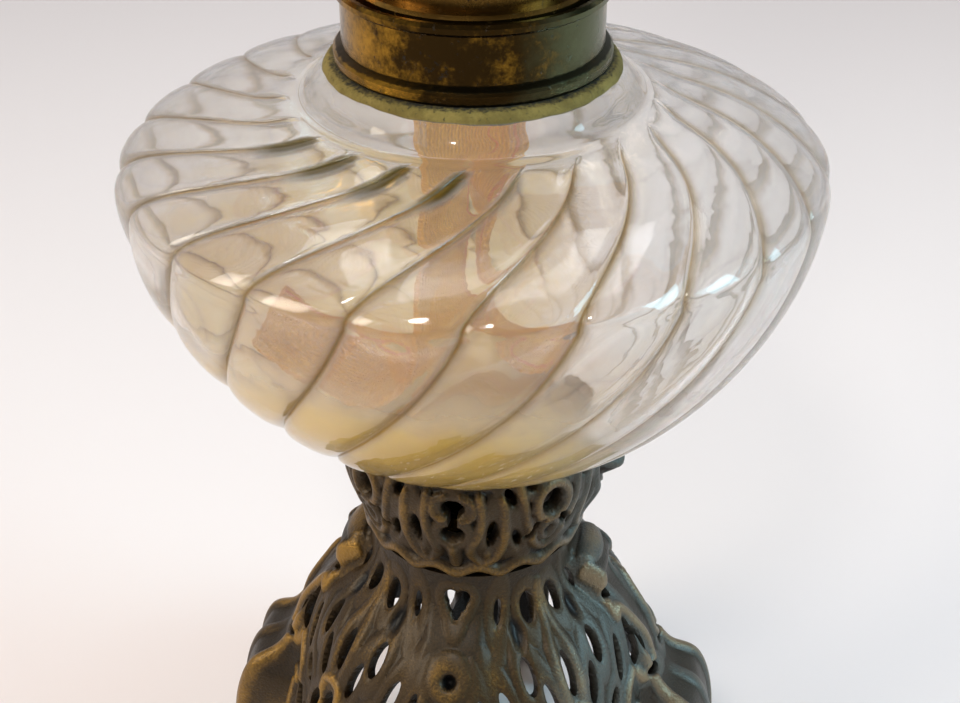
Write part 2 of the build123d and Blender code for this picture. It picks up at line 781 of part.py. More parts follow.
def hanging_wick(side, tail, quarter_turn, turned_by):
    """Flat wick: straight in its tube, then a limp tail that turns a quarter as it hangs, to the
    side that quarter_turn says, and lies along the font's floor."""
    bend_z = floor_plate_z - tube_below_floor - wick_straight_below_tube
    exit_point = Vector(0, side * wick_y, bend_z)
    points = [exit_point] + [Vector(*point) for point in tail]
    path = Spline(*points, tangents=((0, 0, -1), points[-1] - points[-2]))
    top = Plane(origin=(0, side * wick_y, tube_top_z + wick_above_tube), x_dir=(1, 0, 0), z_dir=(0, 0, -1))
    flat = Rectangle(wick_width, wick_thickness)
    sections = [top * flat]
    for i in range(tape_steps + 1):
        share = i / tape_steps
        eased = min(share / turned_by, 1)
        turn = quarter_turn * eased * eased * (3 - 2 * eased) * math.pi / 2
        across = (math.cos(turn), math.sin(turn), 0)
        sections.append(Plane(origin=path @ share, x_dir=across, z_dir=path % share) * flat)
    return loft(sections, ruled=True)


def wick_front():
    """Front wick: its tail lies along the bowl to the left."""
    bed_z = font_floor_z + font_wall
    y = -wick_y - 1.5
    return hanging_wick(-1, [
        (-6, y, collar_z - 25),
        (-8, y, collar_z - 50),
        (-10, y, bed_z + 24),
        (-16, y, bed_z + 13),
        (-27, y, bed_z + 10),
        (-41, y, bed_z + 19),
        (-52, y, bed_z + 31),
    ], front_quarter_turns, front_turned_by)


def wick_back():
    """Back wick: its tail hangs behind the front one and lies along the bowl to the right."""
    bed_z = font_floor_z + font_wall
    y = wick_y + 5.5
    return hanging_wick(1, [
        (1, y, collar_z - 25),
        (1, y, collar_z - 50),
        (4, y, bed_z + 24),
        (10, y, bed_z + 11),
        (21, y, bed_z + 6.5),
        (36, y, bed_z + 12.5),
    ], back_quarter_turns, back_turned_by)


nodes = {
    "pedestal": pedestal(),
    "font_cup": font_cup(),
    "font_stud": font_stud(),
    "stud_washer": stud_washer(),
    "stud_nut": stud_nut(),
    "font_mount": font_mount(),
    "mount_cement": mount_cement(),
    "glass_font": glass_font(),
    "collar_cement": collar_cement(),
    "collar": collar(),
    "burner_base": burner_base(),
    "burner_floor": burner_floor(),
    "wick_tube_front": wick_tube(-1),
    "wick_tube_back": wick_tube(1),
    "drum": drum(),
    "drum_screws": drum_screws(),
    "winder_bracket": winder_bracket(),
    "winder_bushes": winder_bushes(),
    "air_plate": air_plate(),
    "winder_spindle_front": winder_spindle(-1),
    "winder_spindle_back": winder_spindle(1),
    "spur_wheels_front": spur_wheels(-1),
    "spur_wheels_back": spur_wheels(1),
    "winder_knob_front": winder_knob(-1),
    "winder_knob_back": winder_knob(1),
    "extinguisher_sleeve": extinguisher_sleeve(),
    "extinguisher_lever": extinguisher_lever(),
    "lever_bracket": lever_bracket(),
    "lever_pin": lever_pin(),
    "gallery": gallery(),
    "flame_spreader": flame_spreader(),
    "chimney": chimney(),
    "wick_front": wick_front(),
    "wick_back": wick_back(),
}

os.makedirs("parts", exist_ok=True)
for name, shape in nodes.items():
    export_step(shape, f"parts/{name}.step")
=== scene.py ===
"""Oil lamp: swirl-ribbed glass font on an openwork cast base, with a twin-wick brass burner."""

import json
import math

import bmesh
import bpy
import numpy as np
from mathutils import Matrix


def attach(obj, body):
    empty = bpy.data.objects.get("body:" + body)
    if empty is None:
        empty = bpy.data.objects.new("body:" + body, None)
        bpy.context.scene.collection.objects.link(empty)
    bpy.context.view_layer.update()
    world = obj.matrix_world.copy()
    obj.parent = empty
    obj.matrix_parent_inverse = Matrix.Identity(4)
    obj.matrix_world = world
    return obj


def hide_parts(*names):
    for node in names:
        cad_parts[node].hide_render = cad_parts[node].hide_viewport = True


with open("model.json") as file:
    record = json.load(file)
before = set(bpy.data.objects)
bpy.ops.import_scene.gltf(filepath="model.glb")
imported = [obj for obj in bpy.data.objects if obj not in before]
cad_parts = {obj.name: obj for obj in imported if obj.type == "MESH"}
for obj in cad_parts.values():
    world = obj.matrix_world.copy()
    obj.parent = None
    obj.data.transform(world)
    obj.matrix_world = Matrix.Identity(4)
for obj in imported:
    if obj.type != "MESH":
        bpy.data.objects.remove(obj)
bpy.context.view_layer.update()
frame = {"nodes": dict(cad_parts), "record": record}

MM = 0.001
FULL = 2 * math.pi

# Heights on the solids, in millimetres
FONT_FLOOR = 161.47
FONT_WIDE = 238.03
SHOULDER = 253.83
COLLAR = 264.83


# Lines and grids

def smooth_line(points, count):
    """Catmull-Rom line: cubic spans through the points, each slope half the step between neighbours."""
    points = np.asarray(points, float)
    ends = np.vstack([2 * points[0] - points[1], points, 2 * points[-1] - points[-2]])
    place = np.linspace(0, len(points) - 1, count)
    span = np.minimum(place.astype(int), len(points) - 2)
    u = (place - span)[:, None]
    a, b, c, d = (ends[span + i] for i in range(4))
    return 0.5 * (2 * b + (c - a) * u + (2 * a - 5 * b + 4 * c - d) * u**2 + (3 * b - a - 3 * c + d) * u**3)


def smooth_step(low, high, value):
    """0 below low, 1 above high, and an S curve between."""
    u = np.clip((value - low) / (high - low), 0, 1)
    return u * u * (3 - 2 * u)


def net_faces(rows, columns, close_rows, close_columns):
    """Four-cornered faces of a grid of points, joined round where a side closes on itself."""
    i = np.arange(rows if close_rows else rows - 1)[:, None]
    j = np.arange(columns if close_columns else columns - 1)[None, :]
    i2, j2 = (i + 1) % rows, (j + 1) % columns
    corners = [i * columns + j, i * columns + j2, i2 * columns + j2, i2 * columns + j]
    return np.stack(corners, -1).reshape(-1, 4)


def make_piece(name, points, faces, body, finish, nodes=(), marks=None, uv=None, crease=40):
    """Mesh of points in millimetres, with doubles merged and faces turned outwards."""
    mesh = bpy.data.meshes.new(name)
    mesh.from_pydata((np.asarray(points, float).reshape(-1, 3) * MM).tolist(), [], faces)
    for key, values in (marks or {}).items():
        mark = mesh.attributes.new(key, "FLOAT", "POINT")
        mark.data.foreach_set("value", np.asarray(values, np.float32).ravel())
    if uv is not None:
        corner = np.zeros(len(mesh.loops), np.int32)
        mesh.loops.foreach_get("vertex_index", corner)
        mesh.uv_layers.new(name="UVMap").data.foreach_set("uv", np.asarray(uv, np.float32)[corner].ravel())
    tidy = bmesh.new()
    tidy.from_mesh(mesh)
    bmesh.ops.remove_doubles(tidy, verts=tidy.verts, dist=1e-6)
    bmesh.ops.recalc_face_normals(tidy, faces=tidy.faces)
    tidy.to_mesh(mesh)
    tidy.free()
    mesh.shade_smooth()
    mesh.set_sharp_from_angle(angle=math.radians(crease))
    mesh.materials.append(finish)
    piece = bpy.data.objects.new(name, mesh)
    bpy.context.scene.collection.objects.link(piece)
    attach(piece, body)
    if nodes:
        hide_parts(*nodes)
    return piece


# Finishes

def tint(red, green, blue):
    """Colour as seen on a screen, 0 to 255, turned to linear light."""
    seen = np.array([red, green, blue]) / 255
    light = np.where(seen <= 0.04045, seen / 12.92, ((seen + 0.055) / 1.055) ** 2.4)
    return (*light.tolist(), 1.0)


class Value:
    """One socket's value; the operators add Math nodes."""

    def __init__(self, finish, socket):
        self.finish = finish
        self.socket = socket

    def math(self, operation, other=0.0, flip=False):
        first, second = (other, self) if flip else (self, other)
        return self.finish.node("ShaderNodeMath", {"operation": operation}, {0: first, 1: second})

    def __add__(self, other):
        return self.math("ADD", other)

    def __sub__(self, other):
        return self.math("SUBTRACT", other)

    def __mul__(self, other):
        return self.math("MULTIPLY", other)

    def __rsub__(self, other):
        return self.math("SUBTRACT", other, True)

    __radd__ = __add__
    __rmul__ = __mul__


class Finish:
    """Node tree of one finish."""

    def __init__(self, name):
        self.material = bpy.data.materials.new(name)
        self.material.use_nodes = True
        self.tree = self.material.node_tree
        self.tree.nodes.clear()
        self.place = self.node("ShaderNodeTexCoord", out="Object")

    def node(self, kind, settings=(), sockets=(), out=0):
        """Adds a node: its settings first, then the value or link of each socket."""
        made = self.tree.nodes.new(kind)
        for key, value in dict(settings).items():
            setattr(made, key, value)
        for key, value in dict(sockets).items():
            if isinstance(value, Value):
                self.tree.links.new(value.socket, made.inputs[key])
            else:
                made.inputs[key].default_value = value
        return Value(self, made.outputs[out])

    def split(self, vector):
        """The three parts of a vector, for a place: to the right, to the back and up."""
        parts = self.node("ShaderNodeSeparateXYZ", {}, {0: vector}).socket.node.outputs
        return [Value(self, part) for part in parts]

    def noise(self, scale, detail=4.0, rough=0.6):
        """Cloudy pattern from 0 to 1, in the lamp's own frame."""
        sockets = {"Vector": self.place, "Scale": scale, "Detail": detail, "Roughness": rough}
        return self.node("ShaderNodeTexNoise", {}, sockets, "Fac")

    def ramp(self, value, low, high):
        """0 below low, 1 above high, and an S curve between."""
        settings = {"clamp": True, "interpolation_type": "SMOOTHSTEP"}
        return self.node("ShaderNodeMapRange", settings, {"Value": value, "From Min": low, "From Max": high})

    def mix(self, factor, first, second):
        """Colour that goes from first to second as the factor goes from 0 to 1."""
        return self.node("ShaderNodeMix", {"data_type": "RGBA"}, {0: factor, 6: first, 7: second}, 2)

    def mark(self, name):
        """Value that a piece carries at its points."""
        return self.node("ShaderNodeAttribute", {"attribute_name": name}, out="Fac")

    def bump(self, height, depth):
        """Normal of a surface raised by a pattern, depth in metres."""
        return self.node("ShaderNodeBump", {}, {"Height": height, "Distance": depth, "Strength": 1.0}, "Normal")

    def shader(self, sockets):
        """Principled surface with the given sockets."""
        return self.node("ShaderNodeBsdfPrincipled", {}, sockets)

    def close(self, shader):
        """Ends the tree with the surface's shader."""
        end = self.tree.nodes.new("ShaderNodeOutputMaterial")
        self.tree.links.new(shader.socket, end.inputs["Surface"])
        return self.material

    def cover(self, sockets):
        """Whole finish of one principled surface."""
        return self.close(self.shader(sockets))


def cast_bronze():
    """Dark lacquered casting: near black in hollows and inside as painted shade, brown gold on raised edges as
    rubbed wear and a painted highlight, and a painted grey-green reflection of cool light on the right side.
    """
    finish = Finish("dark_cast_bronze")
    relief = finish.mark("relief")
    cloud = finish.noise(70)
    grain = finish.noise(1400, 3, 0.5)
    # Brown gold on raised work and round openings: partly rubbed wear, partly a painted highlight
    wear_and_painted_light = finish.ramp(relief + (cloud - 0.5) * 0.6 + (grain - 0.5) * 0.35, 0.5, 0.95)
    # Near black where the relief mark is low, in dents, dimples and on the inner faces: painted shade
    body = finish.mix(finish.ramp(relief + (grain - 0.5) * 0.3, 0.1, 0.45), tint(9, 7, 5), tint(60, 45, 22))
    colour = finish.mix(wear_and_painted_light, body, tint(142, 107, 44))
    # Painted reflection: grey-green of the cool light on the casting's right side, on the outer faces only
    side, _, _ = finish.split(finish.place)
    cool_side_reflection = finish.ramp(side + (cloud - 0.5) * 0.03, 0.012, 0.036) * finish.ramp(relief, 0.15, 0.6)
    colour = finish.mix(cool_side_reflection * 0.45, colour, tint(100, 116, 118))
    dust = finish.ramp(finish.noise(320, 5, 0.7), 0.6, 0.75)
    return finish.cover({
        "Base Color": finish.mix(dust * 0.12, colour, tint(112, 104, 84)),
        "Metallic": 0.75,
        "Roughness": 0.52 - wear_and_painted_light * 0.14 + (grain - 0.5) * 0.2,
        "Coat Weight": 0.25,
        "Coat Roughness": 0.34,
        "Normal": finish.bump(grain + cloud * 0.6, 0.0004),
    })


GRIME_EDGE = 0.0004


def old_brass(name, bright, dull, dark, green, gloss, grime):
    """Handled brass: a brown film in clouds, thickened at the front and the right as painted shade and thinned
    at the left as a painted highlight, dark specks, and a painted olive reflection of cool light on the right
    side.

    Grime lies in rings, each between two heights in metres."""
    finish = Finish(name)
    cloud = finish.noise(55, 5, 0.65)
    fine = finish.noise(700, 4, 0.7)
    side, depth, height = finish.split(finish.place)
    speck = finish.ramp(finish.noise(420, 3, 0.75), 0.6, 0.72)
    # Film: brown tarnish in clouds, plus painted shade that thickens it at the front and the right and a
    # painted highlight that thins it at the left
    film = finish.ramp(cloud + (fine - 0.5) * 0.35 - depth * 8.0 + side * 4.0, 0.38, 0.72)
    colour = finish.mix(film, bright, dull)
    colour = finish.mix(speck * 0.75, colour, dark)
    # Painted reflection: olive of the cool light on the right side
    colour = finish.mix(finish.ramp(side + (cloud - 0.5) * 0.03, 0.006, 0.03) * 0.6, colour, green)
    rough = gloss + film * 0.1 + speck * 0.2
    wander = height + (fine - 0.5) * 0.0012
    for low, high in grime:
        line = finish.ramp(wander, low - GRIME_EDGE, low) * (1 - finish.ramp(wander, high, high + GRIME_EDGE))
        colour = finish.mix(line * 0.85, colour, tint(16, 15, 9))
        rough = rough + line * 0.3
    return finish.cover({
        "Base Color": colour,
        "Metallic": 1.0 - speck * 0.5,
        "Roughness": rough,
        "Normal": finish.bump(fine + cloud, 0.00004),
    })


def old_plaster():
    """Olive plaster band, stained dark and green at its edges."""
    finish = Finish("old_plaster")
    cloud = finish.noise(120, 5, 0.7)
    fine = finish.noise(900, 4, 0.7)
    colour = finish.mix(finish.ramp(cloud, 0.35, 0.65), tint(134, 118, 58), tint(106, 92, 38))
    colour = finish.mix(finish.ramp(fine, 0.55, 0.75), colour, tint(58, 54, 30))
    _, _, height = finish.split(finish.place)
    edge = finish.ramp(height + (fine - 0.5) * 0.0016, 0.2643, 0.265)
    colour = finish.mix(edge, colour, tint(17, 18, 11))
    return finish.cover({
        "Base Color": colour,
        "Roughness": 0.75 + fine * 0.2,
        "Normal": finish.bump(fine + cloud, 0.0005),
    })


def dull_steel():
    """Grey steel with brown age."""
    finish = Finish("dull_steel")
    cloud = finish.noise(150, 5, 0.7)
    colour = finish.mix(finish.ramp(cloud, 0.45, 0.7), tint(150, 148, 142), tint(92, 74, 58))
    return finish.cover({
        "Base Color": colour,
        "Metallic": 0.95,
        "Roughness": 0.3 + cloud * 0.3,
        "Normal": finish.bump(cloud, 0.0002),
    })


GLASS_BEND = 1.5


def pressed_glass():
    """Clear moulded glass, faintly wavy, mixed with a dusty surface by a share.

    The share is high on the film of old oil low inside, on the painted olive refraction lines in the grooves
    and on the painted shade of the finger wedges, and faint elsewhere."""
    finish = Finish("font_glass_clear")
    wave = finish.noise(42, 2, 0.5) + finish.noise(150, 2, 0.5) * 0.12
    fine = finish.noise(260, 5, 0.75)
    dirt = finish.ramp(fine, 0.64, 0.78)
    film = finish.ramp(finish.mark("film") + (finish.noise(60, 4, 0.6) - 0.5) * 0.5, 0.2, 0.9)
    # Groove mark: painted olive refraction lines along the grooves
    groove = finish.ramp(finish.mark("groove") + (fine - 0.5) * 0.2, 0.1, 1.1)
    # Finger mark: painted shade, a dark wedge at a groove's end by the neck, front left
    finger = finish.ramp(finish.mark("finger") + (fine - 0.5) * 0.25, 0.15, 0.9)
    olive = tint(150, 118, 44)
    clear = finish.mix(film, tint(254, 253, 252), tint(252, 238, 200))
    clear = finish.mix(groove, clear, olive)
    clear = finish.mix(finger, clear, tint(96, 80, 30))
    dusty = finish.mix(film, tint(240, 236, 237), tint(250, 212, 108))
    dusty = finish.mix(dirt * 0.35, dusty, tint(140, 130, 104))
    dusty = finish.mix(groove, dusty, olive)
    dusty = finish.mix(finger, dusty, tint(88, 74, 28))
    wavy = finish.bump(wave, 0.0003)
    glass = finish.shader({
        "Base Color": finish.mix(dirt * film * 0.5, clear, tint(150, 120, 70)),
        "Roughness": 0.02 + film * dirt * 0.3,
        "IOR": GLASS_BEND,
        "Alpha": 0.8,
        "Transmission Weight": 1.0,
        "Normal": wavy,
    })
    dust = finish.shader({
        "Base Color": dusty,
        "Roughness": 0.12 + dirt * 0.3,
        "IOR": GLASS_BEND,
        "Normal": wavy,
    })
    share = 0.01 + finish.mark("haze") * 0.09 + film * 0.66 + groove * 0.2 + finger * 0.4
    return finish.close(finish.node("ShaderNodeMixShader", {}, {0: share, 1: glass, 2: dust}))


def chimney_glass():
    """Thin clear blown glass with faint smoke marks."""
    finish = Finish("chimney_glass_clear")
    smoke = finish.ramp(finish.noise(30, 4, 0.6), 0.5, 0.8)
    return finish.cover({
        "Base Color": finish.mix(smoke * 0.3, tint(250, 251, 250), tint(215, 208, 196)),
        "Roughness": 0.015 + smoke * 0.06,
        "IOR": 1.48,
        "Alpha": 0.4,
        "Transmission Weight": 1.0,
        "Normal": finish.bump(finish.noise(25, 2, 0.5), 0.0005),
    })


CORDS = 22


def wick_cotton():
    """Woven cotton tape soaked in oil: cords lengthwise, crossing threads, a red thread by one edge, and a
    painted glow.
    """
    finish = Finish("oiled_wick_cotton")
    across, along, _ = finish.split(finish.node("ShaderNodeTexCoord", out="UV"))
    cords = (across * (FULL * CORDS)).math("SINE") * 0.5 + 0.5
    threads = (along * FULL * 2.4 + (across * (FULL * CORDS / 2)).math("SINE") * 2).math("SINE") * 0.5 + 0.5
    stain = finish.noise(50, 5, 0.6)
    colour = finish.mix(finish.ramp(stain, 0.35, 0.7), tint(222, 160, 34), tint(188, 122, 18))
    colour = finish.mix(0.4 + cords * 0.35 + threads * 0.25, tint(146, 92, 14), colour)
    red = finish.ramp(across, 0.895, 0.905) * (1 - finish.ramp(across, 0.93, 0.94))
    return finish.cover({
        "Base Color": finish.mix(red * 0.85, colour, tint(190, 52, 40)),
        # Painted glow: the tape gives off its own colour, so it looks lit inside the glass
        "Emission Color": colour,
        "Emission Strength": 0.36,
        "Roughness": 0.72 + cords * 0.15,
        "Normal": finish.bump(cords + threads * 0.6, 0.0005),
    })


bronze = cast_bronze()
collar_brass = old_brass(
    "old_collar_brass", bright=tint(172, 128, 44), dull=tint(48, 35, 15), dark=tint(26, 20, 11),
    green=tint(116, 126, 94), gloss=0.13, grime=[(0.2640, 0.2655), (0.2682, 0.2690)])
burner_brass = old_brass(
    "burner_brass", bright=tint(164, 126, 60), dull=tint(104, 78, 36), dark=tint(48, 36, 20),
    green=tint(126, 106, 58), gloss=0.18, grime=[(0.2750, 0.2765)])
plaster = old_plaster()
steel = dull_steel()
font_glass = pressed_glass()
lamp_glass = chimney_glass()
cotton = wick_cotton()

dress = {
    "casting": bronze,
    "font_glass": font_glass,
    "chimney_glass": lamp_glass,
    "collar_brass": collar_brass,
    "burner_brass": burner_brass,
    "steel": steel,
    "plaster": plaster,
    "cotton": cotton,
}
for part in frame["record"]["subparts"]:
    for holder in frame["nodes"][part["node"]].material_slots:
        holder.material = dress[part["material_slot"]]


# Glass font

# Ribs and superellipses of the font, and its radii where it is widest, at its foot and at its neck
RIBS = 22
RIB_DEPTH = 3.0
RIB_TURN = -17.9
FONT_REACH = 86.7
FONT_WALL = 2.4
FOOT_REACH = 31
NECK_REACH = 42
BOWL_DROP = 84.6
BOWL_POWER = 1.77
SHOULDER_POWER = 1.85
MEAN_COUNT = 13


def plain_rings(line, turn):
    """Rings without ribs, along a line of (r, z)."""
    return np.column_stack([line, np.zeros(len(line)), np.full(len(line), turn)])


def font_outside():
    """Rings (r, z, rib depth, turn) of the bowl and the shoulder, from the foot up.

    Both are superellipse quarters; their ribs turn with the drop below the widest ring and with the step
    inwards from it. A moving mean rounds the widest ring."""
    bowl = np.linspace(math.acos((FOOT_REACH / FONT_REACH) ** (BOWL_POWER / 2)), 0, 70)
    drop = BOWL_DROP * np.sin(bowl) ** (2 / BOWL_POWER)
    reach = FONT_REACH * np.cos(bowl) ** (2 / BOWL_POWER)
    depth = RIB_DEPTH * smooth_step(80, 48, drop)
    turn = RIB_TURN - 0.27 * drop - 0.0055 * drop**2
    low = np.stack([reach, FONT_WIDE - drop, depth, turn], -1)
    rise = np.linspace(0, math.pi / 2, 46)[1:]
    reach = NECK_REACH + (FONT_REACH - NECK_REACH) * np.clip(np.cos(rise), 0, 1) ** (2 / SHOULDER_POWER)
    turn = RIB_TURN + 0.78 * (FONT_REACH - reach)
    depth = RIB_DEPTH * smooth_step(43, 51, reach)
    fillet = 2.4 * smooth_step(60, NECK_REACH, reach) ** 2
    lift = (SHOULDER - FONT_WIDE) * np.sin(rise) ** (2 / SHOULDER_POWER) + fillet
    high = np.stack([reach, FONT_WIDE + lift, depth, turn], -1)
    outside = np.vstack([low, high])
    window = np.hanning(MEAN_COUNT + 2)
    soft = window[1:-1] / window.sum()
    tip = smooth_step(20, 8, np.abs(outside[:, 1] - FONT_WIDE)) * (outside[:, 0] > 70)
    for column in range(2):
        eased = np.convolve(np.pad(outside[:, column], MEAN_COUNT // 2, mode="edge"), soft, "valid")
        outside[:, column] += tip * (eased - outside[:, column])
    return outside


def font_inside(outside):
    """The outside's rings one wall in, with shallower ribs, from the shoulder down to the floor."""
    slope = np.gradient(outside[:, :2], axis=0)
    slope /= np.linalg.norm(slope, axis=1)[:, None]
    inside = outside[::-1].copy()
    inside[:, 0] -= FONT_WALL * slope[::-1, 1] * smooth_step(20, 60, inside[:, 0])
    inside[:, 1] += FONT_WALL * slope[::-1, 0]
    inside[:, 2] *= 0.85
    inside = inside[inside[:, 0] > 28]
    floor = smooth_line([(26, FONT_FLOOR + 2.6), (18, FONT_FLOOR + 2.4), (0, FONT_FLOOR + 2.4)], 12)
    return np.vstack([inside, plain_rings(floor, outside[0, 3])])


def font_rings():
    """Rings, film and haze from the peg's foot up outside, over the neck, and down inside.

    The film is low inside, and the haze is on the shoulder outside."""
    peg = smooth_line([
        (0, FONT_FLOOR - 18), (15, FONT_FLOOR - 18), (16, FONT_FLOOR - 17), (16, FONT_FLOOR - 2),
        (18, FONT_FLOOR - 0.3), (29, FONT_FLOOR - 0.1)], 26)
    neck = smooth_line([
        (41.2, SHOULDER + 2.8), (40.3, SHOULDER + 3.5), (39.2, SHOULDER + 4.7), (37.8, SHOULDER + 6.4),
        (36, SHOULDER + 8.3), (34.2, SHOULDER + 10), (31, COLLAR + 0.4), (28.8, COLLAR + 1.2),
        (28.8, COLLAR + 12), (28, COLLAR + 13), (26.8, COLLAR + 13), (26.2, COLLAR + 12.2), (26.2, COLLAR),
        (27, SHOULDER + 8.4), (29.5, SHOULDER + 6.8), (34, SHOULDER + 3.4), (38.5, SHOULDER + 0.9)], 80)
    outside = font_outside()
    inside = font_inside(outside)
    rings = np.vstack([plain_rings(peg, outside[0, 3]), outside, plain_rings(neck, outside[-1, 3]), inside])
    film, haze = np.zeros(len(rings)), np.zeros(len(rings))
    film[-len(inside):] = smooth_step(240, 196, inside[:, 1])
    upper = slice(len(peg), len(peg) + len(outside) + len(neck) // 3)
    haze[upper] = smooth_step(FONT_WIDE - 14, FONT_WIDE, rings[upper, 1])
    return rings, film, haze


def make_font():
    """Each ring is cut into 22 rounded lobes with sharp grooves between them.

    Across a lobe, x goes from -1 to 1, and the lobe's height is the root of 1 - 0.96 |x|^2.6. The finger
    mark is painted shade: the dark wedge at a groove's end by the neck, front left."""
    rings, film, haze = font_rings()
    steps = 16
    place = np.sin(np.linspace(-1, 1, steps, endpoint=False) * math.pi / 2)
    across = np.tile(place, RIBS)
    base = (np.repeat(np.arange(RIBS), steps) + (across + 1) / 2) * 360 / RIBS
    lobe = np.sqrt(1 - 0.96 * np.abs(across) ** 2.6)
    r, z, depth, turn = (rings[:, [i]] for i in range(4))
    radius = np.maximum(r - depth * (1 - lobe), 0)
    angle = np.radians(base + turn)
    points = np.stack([radius * np.sin(angle), -radius * np.cos(angle), z + 0 * angle], -1)
    faces = net_faces(len(rings), len(base), False, True).tolist()
    near_neck = smooth_step(64, 52, r) * smooth_step(44.5, 46.5, r) * (z > FONT_WIDE)
    front_left = smooth_step(30, -15, points[..., 0]) * smooth_step(-5, -30, points[..., 1])
    marks = {
        "film": film[:, None] * (0.35 + 0.65 * smooth_step(55, -10, points[..., 0])),
        "haze": haze[:, None] + 0 * angle,
        # Groove mark: painted olive refraction lines along the grooves
        "groove": np.abs(across) ** 5 * smooth_step(0.2, 2.5, depth),
        # Finger mark: painted shade at the groove ends by the neck, front left
        "finger": smooth_step(0.4, 0.85, np.abs(across)) * near_neck * front_left,
    }
    make_piece("ribbed_font", points, faces, "base", font_glass, ["glass_font"], marks, crease=70)


# Openwork castings

def cut_grid(metal):
    """Cuts a grid along the line where the metal field is 0, each cell by which of its corners are metal.

    Gives the kept points as fractions of the grid's steps, and the faces as arrays of 3 to 5 corners."""
    rows, columns = metal.shape
    corner = np.arange(rows * columns).reshape(rows, columns)
    i, j = (axis.astype(float) for axis in np.meshgrid(np.arange(rows), np.arange(columns), indexing="ij"))

    def crossing(a, b):
        gap = a - b
        return np.clip(a / np.where(np.abs(gap) < 1e-9, 1e-9, gap), 0.02, 0.98)

    down = crossing(metal[:-1], metal[1:])
    right = crossing(metal[:, :-1], metal[:, 1:])
    points = np.vstack([
        np.stack([i, j], -1).reshape(-1, 2),
        np.stack([i[:-1] + down, j[:-1]], -1).reshape(-1, 2),
        np.stack([i[:, :-1], j[:, :-1] + right], -1).reshape(-1, 2),
    ])
    down_index = corner.size + np.arange(down.size).reshape(down.shape)
    right_index = corner.size + down.size + np.arange(right.size).reshape(right.shape)
    corners = [corner[:-1, :-1], corner[1:, :-1], corner[1:, 1:], corner[:-1, 1:]]
    sides = [down_index[:, :-1], right_index[1:], down_index[:, 1:], right_index[:-1]]
    held = [(metal > 0)[:-1, :-1], (metal > 0)[1:, :-1], (metal > 0)[1:, 1:], (metal > 0)[:-1, 1:]]
    case = sum(h.astype(int) << k for k, h in enumerate(held))
    faces = []
    for kind in range(1, 16):
        here = case == kind
        inside = [bool(kind >> k & 1) for k in range(4)]
        walk = []
        for k in range(4):
            if inside[k]:
                walk.append(corners[k][here])
            if inside[k] != inside[(k + 1) % 4]:
                walk.append(sides[k][here])
        faces.append(np.stack(walk, -1))
    used, renumber = np.unique(np.concatenate([f.ravel() for f in faces]), return_inverse=True)
    sizes = [f.shape for f in faces]
    cuts = np.cumsum([f.size for f in faces])[:-1]
    return points[used], [part.reshape(size) for part, size in zip(np.split(renumber, cuts), sizes)]


def read_grid(field, place):
    """Value of a field at fractional grid places, straight between the four nearest points."""
    i = np.minimum(place[:, 0].astype(int), field.shape[0] - 2)
    j = np.minimum(place[:, 1].astype(int), field.shape[1] - 2)
    u, v = place[:, 0] - i, place[:, 1] - j
    if field.ndim == 3:
        u, v = u[:, None], v[:, None]
    top = field[i, j] * (1 - v) + field[i, j + 1] * v
    low = field[i + 1, j] * (1 - v) + field[i + 1, j + 1] * v
    return top * (1 - u) + low * u


def walled(outer, inner, faces):
    """Closed shell: outer faces, inner faces turned over, and a wall along every free edge."""
    count = len(outer)
    edges = np.vstack([np.stack([f, np.roll(f, -1, 1)], -1).reshape(-1, 2) for f in faces])
    key = edges.min(1).astype(np.int64) * count + edges.max(1)
    _, first, times = np.unique(key, return_index=True, return_counts=True)
    free = edges[first[times == 1]]
    wall = np.stack([free[:, 1], free[:, 0], free[:, 0] + count, free[:, 1] + count], -1)
    all_faces = [wall.tolist()] + [f.tolist() for f in faces] + [(f[:, ::-1] + count).tolist() for f in faces]
    return np.vstack([outer, inner]), sum(all_faces, [])


def surface_normals(points):
    """Unit normals of a grid of points, outwards from the lamp's axis."""
    down, right = np.gradient(points, axis=0), np.gradient(points, axis=1)
    normal = np.cross(down, right)
    normal /= np.maximum(np.linalg.norm(normal, axis=2), 1e-9)[..., None]
    return normal * np.sign((normal[..., :2] * points[..., :2]).sum())


def bead(distance, width, height):
    """Half-round raised line: height times the circle's root of 1 - (distance / width) squared."""
    return height * np.sqrt(np.clip(1 - (distance / width) ** 2, 0, 1))


def chain_gap(x, y):
    """Least distance to a chain of straight runs, from the offsets x and y to its points along the last axis.

    On each run the nearest place is the foot of the perpendicular, held between the run's ends."""
    run_x, run_y = x[..., :-1] - x[..., 1:], y[..., :-1] - y[..., 1:]
    length = np.maximum(run_x**2 + run_y**2, 1e-9)
    share = np.clip((x[..., :-1] * run_x + y[..., :-1] * run_y) / length, 0, 1)
    gap = (x[..., :-1] - share * run_x) ** 2 + (y[..., :-1] - share * run_y) ** 2
    return np.sqrt(gap.min(-1))


class Chart:
    """Flat map of a casting: degrees from the leg's middle line, and height on its wall."""

    def __init__(self, degrees, radius, height):
        self.degrees = degrees
        self.radius = radius
        self.height = height

    def offset(self, degrees, height):
        """Millimetres along and up from a place on the map."""
        return self.radius * np.radians(self.degrees - degrees), self.height - height

    def oval(self, degrees, height, wide, tall, lean=0.0):
        """Signed distance, roughly, to a leaning oval of given width and height."""
        x, y = self.offset(degrees, height)
        c, s = math.cos(math.radians(lean)), math.sin(math.radians(lean))
        u, v = (x * c + y * s) / (wide / 2), (y * c - x * s) / (tall / 2)
        return (np.sqrt(u * u + v * v) - 1) * min(wide, tall) / 2

    def line(self, points, count=24):
        """Distance to a smooth line through places on the map."""
        spots = smooth_line(points, count)
        x = self.radius[..., None] * np.radians(self.degrees[..., None] - spots[:, 0])
        return chain_gap(x, self.height[..., None] - spots[:, 1])


